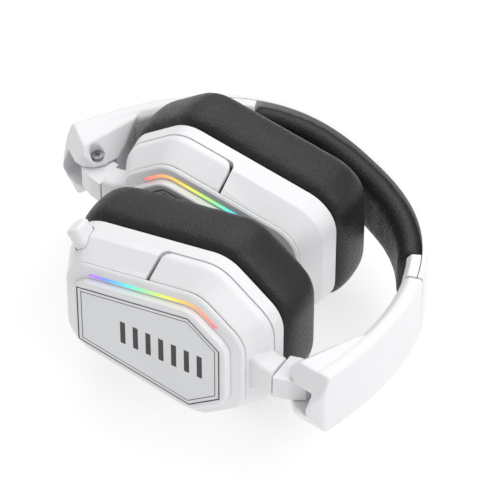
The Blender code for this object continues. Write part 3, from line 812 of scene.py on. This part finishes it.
def make_bezel(side):
    """The rim that frames the end plate, with the light's channel in it."""
    profile = [
        (3.2, 13.0, 0),
        (3.3, 11.6, 0.4),
        (4.3, 7.4, 0.9),
        (5.2, 6.75, 0.3),
        (5.9, 6.55, 0.1),
        (5.95, 8.6, 0),
    ]
    levels = rounded(profile, 4, closed=False)
    bezel = make(side + "_bezel_rim", cup_solid(levels))
    section = [(2.0, 9.85), (2.0, 11.15), (4.6, 11.15), (4.6, 9.85)]
    channel = cup_band(section, LIGHT_START_S, light_path)
    boolean(bezel, "DIFFERENCE", channel)
    bevelled(bezel, width=0.18)
    # Painted shade: the bezel's back face under the yoke is given the dark grey
    paint_gap_shade(bezel, lambda s, t, z: t > 5.92 and s > YOKE_END_S - 1.0)
    looks = [WHITE, SHADOW]
    return finished(bezel, CUP[side], looks, side + "_cup", "white_plastic", side + "_bezel")


def make_light(side):
    """The light guide: a rounded bar that stands slightly proud of its channel."""
    corners = [(3.05, 9.9, 0.45), (3.05, 11.1, 0.45), (4.3, 11.1, 0.2), (4.3, 9.9, 0.2)]
    bar = cup_band(rounded(corners, 4), LIGHT_START_S + GAP, light_path)
    strip = make(side + "_light_guide", bar)
    bevelled(strip, width=0.25, angle=60)
    return finished(
        strip, CUP[side], light_guide(side), side + "_cup", "light_diffuser", side + "_light_strip"
    )


def make_plate(side):
    """The end plate: its largest polygon is the flat grey face, inside a white rounded rim."""
    profile = [(0.0, 14.0, 0), (0.0, 12.2, 1.0), (3.1, 11.8, 0)]
    levels = rounded(profile, 6, closed=False)
    plate = make(side + "_end_plate", cup_solid(levels))
    looks = [WHITE, GREY]
    finished(
        plate, CUP[side], looks, side + "_cup", "light_grey_plastic", side + "_outer_plate"
    )
    outer = max(plate.data.polygons, key=lambda face: (len(face.vertices), face.area))
    facing = -(CUP[side].to_3x3() @ Vector((0, 1, 0))).normalized()
    for face in plate.data.polygons:
        if len(face.vertices) == len(outer.vertices) and face.normal.dot(facing) > 0.9:
            face.material_index = 1
    return plate


def make_graphics(side):
    """A plain film of ink on the end plate: frame lines along its edge and a row of even bars."""
    bm = bmesh.new()

    def flat(points):
        face = bm.faces.new([bm.verts.new((point.x, PRINT_LEVEL, point.y)) for point in points])
        face.normal_update()
        if face.normal.y > 0:
            face.normal_flip()

    for inset, width in PRINT_FRAMES:
        outer, inner = inset_corners(inset), inset_corners(inset + width)
        for k in range(len(outer)):
            flat([outer[k - 1], outer[k], inner[k], inner[k - 1]])
    corners = inset_corners(PRINT_FRAMES[-1][0])
    centre = sum(corners, Vector((0, 0))) / len(corners)
    half = Vector((PRINT_BAR_WIDTH / 2, PRINT_BAR_HEIGHT / 2))
    for k in range(PRINT_BARS):
        spot = centre + Vector((PRINT_BAR_PITCH * (k - (PRINT_BARS - 1) / 2), 0))
        signs = ((-1, -1), (1, -1), (1, 1), (-1, 1))
        flat([spot + Vector((half.x * x, half.y * z)) for x, z in signs])
    bmesh.ops.triangulate(bm, faces=bm.faces)
    ink = make(side + "_plate_print", bm)
    return finished(ink, CUP[side], INK, side + "_cup", "light_grey_plastic")


# ---------------------------------------------------------------- microphone and controls


def mic_matrix():
    along = Vector((-math.cos(MIC_ANGLE), 0, math.sin(MIC_ANGLE)))
    across = along.cross(Vector((0, 1, 0)))
    return from_axes(along, (0, 1, 0), across, (MIC_S, MIC_T, MIC_Z))


def mic_bar(low, high, grow=0.0, tip=0.0):
    """The boom's rounded bar, with a domed tip where tip is its radius."""

    def ring(x, shrink):
        half_y = 5.0 + grow - shrink
        half_z = 3.4 + grow - shrink
        corner = min(2.6, half_z)
        signs = ((1, 1), (-1, 1), (-1, -1), (1, -1))
        profile = rounded([(half_y * a, half_z * b, corner) for a, b in signs], 6)
        return [(x, y, z) for y, z in profile]

    rings = [ring(low, 0)]
    if tip:
        for k in range(7):
            angle = math.pi / 2 * k / 6
            rings.append(ring(high - tip + tip * math.sin(angle), tip * (1 - math.cos(angle))))
    else:
        rings.append(ring(high, 0))
    bm = loft(rings)
    bmesh.ops.transform(bm, matrix=mic_matrix(), verts=bm.verts)
    return bm


def make_microphone():
    boom = make("microphone_boom", mic_bar(-20, 12.6, tip=1.6))
    bevelled(boom, width=0.3)
    return finished(boom, CUP["left"], WHITE, "microphone", "white_plastic", "mic_boom")


def edge_matrix(s):
    """X along the cup's rear edge, Y towards the head, Z out of the cup."""
    low, high = inset_corners(4.0)[5], inset_corners(4.0)[4]
    edge = (high - low).normalized()
    outward = Vector((edge.y, -edge.x))
    spot = low + edge * ((s - low.x) / edge.x)
    outward_axis = (outward.x, 0, outward.y)
    return from_axes((edge.x, 0, edge.y), (0, 1, 0), outward_axis, (spot.x, CONTROL_T, spot.y))


def on_edge(bm, s):
    bmesh.ops.transform(bm, matrix=edge_matrix(s), verts=bm.verts)
    return bm


def pill_bar(z, half, radius, low, high):
    """A socket's hole from s = low to s = high, with round ends 2 * half apart."""
    points = []
    for k in range(32):
        angle = 2 * math.pi * (k + 0.5) / 32
        across = z + math.copysign(half, math.cos(angle)) + radius * math.cos(angle)
        points.append((SOCKET_T + radius * math.sin(angle), across))
    return loft([[(s, t, across) for t, across in points] for s in (low, high)])


def control_cutters():
    """The holes in the left cup for its buttons, wheel and sockets."""
    return [
        on_edge(cylinder(BUTTON_HOLE, -8, 8), POWER_S),
        on_edge(cylinder(BUTTON_HOLE, -8, 8), MUTE_S),
        on_edge(box((-6.4, -2.0, -11.5), (6.4, 2.0, 8)), WHEEL_S),
        pill_bar(-0.5, 2.87, 1.85, -9.0, 14.0),
        pill_bar(-9.8, 0.0, 3.15, -9.0, 14.0),
    ]


def make_controls():
    buttons = (("power_button", "power_key", POWER_S), ("mute_button", "mute_key", MUTE_S))
    for name, body, s in buttons:
        button = make(name + "_cap", on_edge(cylinder(BUTTON_RADIUS, -4.2, 1.3, sides=48), s))
        bevelled(button, width=0.35, segments=3)
        finished(button, CUP["left"], WHITE, body, "white_plastic", name)
    wheel = cylinder(WHEEL_RADIUS, -1.5, 1.5, (0, WHEEL_DEPTH), axis="Y", sides=WHEEL_SIDES)
    centre = Vector((0, 0, WHEEL_DEPTH))
    for vertex in wheel.verts:
        flat = Vector((vertex.co.x, 0, vertex.co.z)) - centre
        if round(math.atan2(flat.z, flat.x) / (2 * math.pi) * WHEEL_SIDES) % 2:
            vertex.co.x *= WHEEL_RIB
            vertex.co.z = centre.z + flat.z * WHEEL_RIB
    wheel = make("volume_thumbwheel", on_edge(wheel, WHEEL_S))
    bore = cylinder(WHEEL_BORE, -3, 3, (0, WHEEL_DEPTH), axis="Y")
    boolean(wheel, "DIFFERENCE", on_edge(bore, WHEEL_S))
    finished(wheel, CUP["left"], BLACK, "volume_knob", "black_plastic", "volume_wheel")


# ---------------------------------------------------------------- headband mouldings


def make_shell():
    h = BAND_HALF_HEIGHT
    section = rounded([(0, -h, 1.8), (0, h, 1.8), (-2.6, h, 0), (-2.6, -h, 0)], 6)
    seam = band_angle(SEAM_Y + GAP)
    shell = make("headband_outer_shell", band_sweep(section, seam, math.pi - seam, 90))
    bevelled(shell, width=0.25, angle=50)
    place = band_matrix()
    return finished(shell, place, WHITE, "headband", "white_plastic", "headband_shell")


def rail_matrix():
    high = band_point(band_angle(SEAM_Y + 15), -4.6)
    low = band_point(band_angle(SEAM_Y), -4.6)
    along = (low - high).normalized()
    return from_axes((along.x, along.y, 0), (-along.y, along.x, 0), (0, 0, 1), (low.x, low.y, 0))


def rail_box(low, high):
    bm = box(low, high)
    bmesh.ops.transform(bm, matrix=rail_matrix(), verts=bm.verts)
    return bm


def make_end_cover(side):
    h = BAND_HALF_HEIGHT
    corners = [
        (-2.9, -h, 0),
        (-2.9, h, 0),
        (-6.8, h, 1.2),
        (-8.8, h - 2.4, 2.2),
        (-8.8, -h + 2.4, 2.2),
        (-6.8, -h, 1.2),
    ]
    start, stop = band_angle(SEAM_Y + GAP), band_angle(CUSHION_END_Y - GAP)
    cover = make(side + "_band_end", band_sweep(rounded(corners, 5), start, stop, 16))
    boolean(cover, "DIFFERENCE", rail_box((-60, -0.8, -8.4), (40, 0.8, 8.4)))
    bevelled(cover, width=0.2, angle=50)
    place = band_matrix(side)
    return finished(cover, place, WHITE, "headband", "white_plastic", side + "_end_cover")


def slab_above(height, across, along, x_zero, y_zero, sign):
    """All beyond a sloping plane: its height at (x_zero, y_zero), and its rise along x and y."""
    low = []
    for x, y in ((60, -30), (100, -30), (100, 30), (60, 30)):
        rise = height + across * (x - x_zero) + along * (y - y_zero)
        low.append((x, y, sign * rise))
    return loft([low, [(x, y, z + sign * 80) for x, y, z in low]])


def prism(outline, low, high):
    return loft([[(x, y, z) for x, y in outline] for z in (low, high)])


def make_arm(side):
    """The slider arm: a bar that follows the headband and ends in the clevis's two ears."""
    h = BAND_HALF_HEIGHT
    screw = -1 if side == "left" else 1
    corners = [
        (0, -h, 1.9),
        (0, h, 1.9),
        (-5.5, h, 1.5),
        (-8.6, h - 2.2, 2.4),
        (-8.6, -h + 2.2, 2.4),
        (-5.5, -h, 1.5),
    ]
    bar = band_sweep(rounded(corners, 5), band_angle(SEAM_Y), band_angle(ARM_END_Y), 70)
    arm = make(side + "_arm_moulding", bar)
    ears = rounded(
        [
            (83.0, 30.0, 0),
            (86.0, 8.0, 6),
            (85.5, -2.5, 3),
            (82.5, -5.3, 2),
            (78.5, -5.6, 2),
            (73.4, -4.2, 3),
            (70.0, -0.8, 3),
            (68.9, 3.7, 3),
            (69.2, 10.0, 6),
            (71.8, 16.0, 8),
            (75.6, 22.0, 8),
            (80.0, 30.0, 0),
        ],
        4,
    )
    slot = [(60, -30), (90, -30), (86.0, -9), (86.0, 3), (83.5, 7.5), (79.5, 9.6), (60, 11.5)]
    corner = [(91.6, 1.0), (90.0, -1.8), (87.6, -4.6), (84.0, -8.0)]
    corner += [(84.0, -20.0), (100.0, -20.0), (100.0, 1.0)]
    recess = sorted((screw * 8.1, screw * 30))
    through = sorted((screw * 30, screw * -7.6))
    boolean(arm, "UNION", prism(ears, -h + 0.4, h - 0.4))
    boolean(
        arm,
        "DIFFERENCE",
        slab_above(13.6, 1.2, -0.08, 75.0, 0.0, 1),
        slab_above(9.8, 1.2, 0.1, 75.0, 0.0, -1),
        slab_above(14.0, -0.6, 2.29, 88.0, 0.8, 1),
        slab_above(15.0, -0.6, 1.9, 88.0, 0.4, -1),
        prism(corner, -40, 40),
        prism(slot, -SLOT_HALF, SLOT_HALF),
        cylinder(PIN_RADIUS + 0.3, *through, (HINGE_X, HINGE_Y)),
        cylinder(3.1, *recess, (HINGE_X, HINGE_Y)),
        rail_box((-2, -0.9, -8.5), (12.5, 0.9, 8.5)),
        cover_shape(0.0),
    )
    softened(arm, voxel=0.5, rounds=8)
    place = band_matrix(side)
    return finished(arm, place, WHITE, side + "_slider", "white_plastic", side + "_slider_arm")


def cover_shape(clearance):
    """The arm's lid or, with no clearance, the deeper recess that it lies in."""
    start = band_angle(50.0 - clearance)
    stop = band_angle(27.0 + clearance)
    half = 10.5 - clearance
    inner = -8.6 if clearance else -12.0
    outer = -6.6 - clearance
    section = [(outer, -half), (outer, half), (inner, half), (inner, -half)]
    return band_sweep(section, start, stop, 16)


def make_arm_cover(side):
    cover = make(side + "_arm_lid", cover_shape(GAP))
    bevelled(cover, width=0.3, angle=50)
    place = band_matrix(side)
    return finished(cover, place, WHITE, side + "_slider", "white_plastic", side + "_arm_cover")


def make_block(side):
    """The knuckle: a faceted block with softened edges."""
    outline = [
        (-8.0, -10.6, 0.5),
        (-8.0, 3.4, 0.5),
        (-3.5, 4.8, 0.5),
        (1.5, 4.9, 2.0),
        (4.6, 2.8, 2.0),
        (5.6, -1.5, 2.0),
        (4.6, -5.5, 1.0),
        (-1.5, -8.8, 1.0),
    ]
    points = [(x + HINGE_S, y + HINGE_T) for x, y in rounded(outline, 3)]
    block = loft([[(s, t, z) for s, t in points] for z in (-BLOCK_HALF, BLOCK_HALF)])
    block = make(side + "_knuckle_block", block)
    boolean(
        block,
        "DIFFERENCE",
        cylinder(PIN_RADIUS + 0.08, -20, 20, (HINGE_S, HINGE_T)),
        cylinder(SWIVEL_BORE, 80, HINGE_S - 2.9, (SWIVEL_T, 0), axis="X"),
    )
    bevelled(block, width=0.7, segments=3, angle=30)
    body = side + "_knuckle"
    return finished(block, CUP[side], WHITE, body, "white_plastic", side + "_hinge_block")


# ---------------------------------------------------------------- padded pieces


def inflated(obj, voxel, limit, pinned, frames=20):
    """Puffs a cushion up by cloth simulation, keeping pinned points where they are."""
    remesh = obj.modifiers.new("remesh", "REMESH")
    remesh.mode = "VOXEL"
    remesh.voxel_size = voxel * MM
    apply_modifiers(obj)
    smooth = obj.modifiers.new("smooth", "SMOOTH")
    smooth.factor = 0.5
    smooth.iterations = 3
    apply_modifiers(obj)
    rest = [vertex.co.copy() for vertex in obj.data.vertices]
    held = obj.vertex_groups.new(name="held")
    held.add([i for i, co in enumerate(rest) if pinned(co)], 1.0, "REPLACE")
    cloth = obj.modifiers.new("cloth", "CLOTH")
    cloth.settings.quality = 5
    cloth.settings.mass = 0.25
    cloth.settings.use_pressure = True
    cloth.settings.uniform_pressure_force = 4.0
    cloth.settings.effector_weights.gravity = 0.0
    cloth.settings.vertex_group_mass = "held"
    cloth.settings.tension_stiffness = 25
    cloth.settings.bending_stiffness = 2.0
    cloth.collision_settings.use_collision = False
    for number in range(1, frames + 1):
        bpy.context.scene.frame_set(number)
    apply_modifiers(obj)
    bpy.context.scene.frame_set(1)
    for vertex, start in zip(obj.data.vertices, rest):
        move = vertex.co - start
        if move.length > limit * MM:
            vertex.co = start + move.normalized() * limit * MM
    obj.vertex_groups.clear()
    calm = obj.modifiers.new("smooth", "SMOOTH")
    calm.factor = 0.5
    calm.iterations = 2
    finer = obj.modifiers.new("finer", "SUBSURF")
    finer.levels = 1
    finer.render_levels = 1
    apply_modifiers(obj)
    obj.data.shade_smooth()
    return obj


def make_ear_pad(side):
    section = rounded(
        [
            (25.1, 1.2, 0.5),
            (28.0, -1.5, 2),
            (37.0, -2.1, 6),
            (46.8, -1.1, 4),
            (50.3, 2.4, 3),
            (51.1, 7.0, 3),
            (49.4, 11.5, 3),
            (44.5, 14.6, 4),
            (32.0, 15.6, 4),
            (25.1, 14.8, 0.5),
        ],
        3,
    )
    rings = [cup_ring(t, inset, 6) for t, inset in section]
    pad = make(side + "_ear_cushion", loft(rings, closed=True))
    pad.data.transform(CUP[side])
    if side == "right":
        pad.data.flip_normals()
    to_cup = CUP[side].inverted()
    inflated(pad, voxel=2.4, limit=1.6, pinned=lambda co: (to_cup @ co).y < 26.8)
    as_it_is = Matrix.Identity(4)
    finished(pad, as_it_is, LEATHER, side + "_cup", "leatherette", side + "_ear_pad")
    return pad


def make_headband_cushion():
    h = BAND_HALF_HEIGHT
    corners = [
        (-2.9, -h + 0.3, 0.3),
        (-2.9, h - 0.3, 0.3),
        (-8.6, h - 0.2, 2.5),
        (-12.6, h - 4.5, 6),
        (-12.6, -h + 4.5, 6),
        (-8.6, -h + 0.2, 2.5),
    ]
    end = band_angle(CUSHION_END_Y)
    padding = band_sweep(rounded(corners, 5), end, math.pi - end, 80)
    cushion = make("headband_padding", padding)
    cushion.data.transform(band_matrix())
    inverse = band_matrix().inverted()

    def pinned(co):
        """The side against the shell, and the two ends."""
        point = inverse @ co
        x, y = point.x / BAND_HALF_WIDTH, (point.y - BAND_CENTRE_Y) / BAND_RISE
        against_shell = abs(x) ** BAND_POWER + abs(y) ** BAND_POWER > 0.915
        return against_shell or point.y < CUSHION_END_Y + 1.0

    inflated(cushion, voxel=2.2, limit=1.4, pinned=pinned)
    as_it_is = Matrix.Identity(4)
    finished(cushion, as_it_is, LEATHER, "headband", "leatherette", "headband_cushion")
    return cushion


def make_ear_cloth(side):
    """The knit stretched across the ear opening, slightly domed over the driver's guard."""
    outline = subdivided(cup_outline(15.3, 6), 3.0)
    middle = Vector((sum(p[0] for p in outline) / len(outline), 0))
    rows = []
    for k in range(12):
        share = 1 - k / 12
        level = 25.6 - 0.35 * (1 - share**2)
        spots = [middle.lerp(Vector(point), share) for point in outline]
        rows.append([(spot.x, level, spot.y) for spot in spots])
    bm = loft(rows, caps=False)
    bm.verts.ensure_lookup_table()
    bmesh.ops.holes_fill(bm, edges=[edge for edge in bm.edges if edge.is_boundary], sides=0)
    many_sided = [face for face in bm.faces if len(face.verts) > 8]
    outer = max(many_sided, key=lambda face: face.calc_area())
    bm.faces.remove(outer)
    cloth = make(side + "_acoustic_cloth", bm)
    finished(cloth, CUP[side], CLOTH, side + "_cup", "acoustic_cloth", side + "_ear_mesh")
    return cloth


# ---------------------------------------------------------------- stage

CAMERA_AZIMUTH, CAMERA_ELEVATION = 54.6, 44.3
CAMERA_LENS = 254.7
CAMERA_DISTANCE = 1.377
LIGHT_AIM = Vector((0, 0, 0.04))


def make_stage():
    bm = bmesh.new()
    bmesh.ops.create_grid(bm, x_segments=1, y_segments=1, size=3.0)
    floor = bpy.data.objects.new("floor", bpy.data.meshes.new("floor"))
    bm.to_mesh(floor.data)
    bm.free()
    bpy.context.scene.collection.objects.link(floor)
    made, _, _, shader = new_material("pale_floor")
    shader.inputs["Base Color"].default_value = (0.35, 0.35, 0.35, 1)
    shader.inputs["Emission Color"].default_value = (1, 1, 1, 1)
    shader.inputs["Emission Strength"].default_value = 0.7
    shader.inputs["Roughness"].default_value = 0.9
    shader.inputs["Specular IOR Level"].default_value = 0.1
    floor.data.materials.append(made)
    floor.location.z = -0.0005

    world = bpy.data.worlds.new("studio")
    world.use_nodes = True
    background = world.node_tree.nodes["Background"]
    background.inputs["Color"].default_value = (1.0, 1.0, 1.0, 1)
    background.inputs["Strength"].default_value = 0.54
    bpy.context.scene.world = world
    bpy.context.scene.view_settings.view_transform = "Standard"


def make_area_light(name, place, size, power):
    """A square soft light, aimed at the headset."""
    light = bpy.data.lights.new(name, "AREA")
    light.shape = "RECTANGLE"
    light.size = light.size_y = size
    light.energy = power
    obj = bpy.data.objects.new(name, light)
    obj.location = place
    obj.rotation_euler = (LIGHT_AIM - Vector(place)).to_track_quat("-Z", "Y").to_euler()
    bpy.context.scene.collection.objects.link(obj)


def make_camera():
    azimuth, elevation = math.radians(CAMERA_AZIMUTH), math.radians(CAMERA_ELEVATION)
    right = Vector((math.cos(azimuth), math.sin(azimuth), 0))
    back = Vector(
        (
            math.sin(azimuth) * math.cos(elevation),
            -math.cos(azimuth) * math.cos(elevation),
            math.sin(elevation),
        )
    )
    up = back.cross(right)
    target = BAND_ORIGIN + Vector((2.6, 22.0, 9.2)) * MM
    camera = bpy.data.cameras.new("camera")
    camera.lens = CAMERA_LENS
    camera.sensor_width = 36
    camera.clip_end = 20
    obj = bpy.data.objects.new("camera", camera)
    obj.matrix_world = from_axes(right, up, back, target + back * CAMERA_DISTANCE)
    bpy.context.scene.collection.objects.link(obj)
    bpy.context.scene.camera = obj


# ---------------------------------------------------------------- the whole headset

make_camera()
make_stage()
make_area_light("overhead", (-0.5, 0.4, 1.1), size=1.2, power=8.0)
make_area_light("right_side", (0.75, 0.35, 0.85), size=0.9, power=5.6)
dress_cad_nodes()
for side in ("left", "right"):
    make_housing(side)
    make_yoke(side)
    make_bezel(side)
    make_light(side)
    make_plate(side)
    make_graphics(side)
    make_ear_pad(side)
    make_ear_cloth(side)
    make_block(side)
    make_arm(side)
    make_arm_cover(side)
    make_end_cover(side)
make_shell()
make_headband_cushion()
make_microphone()
make_controls()
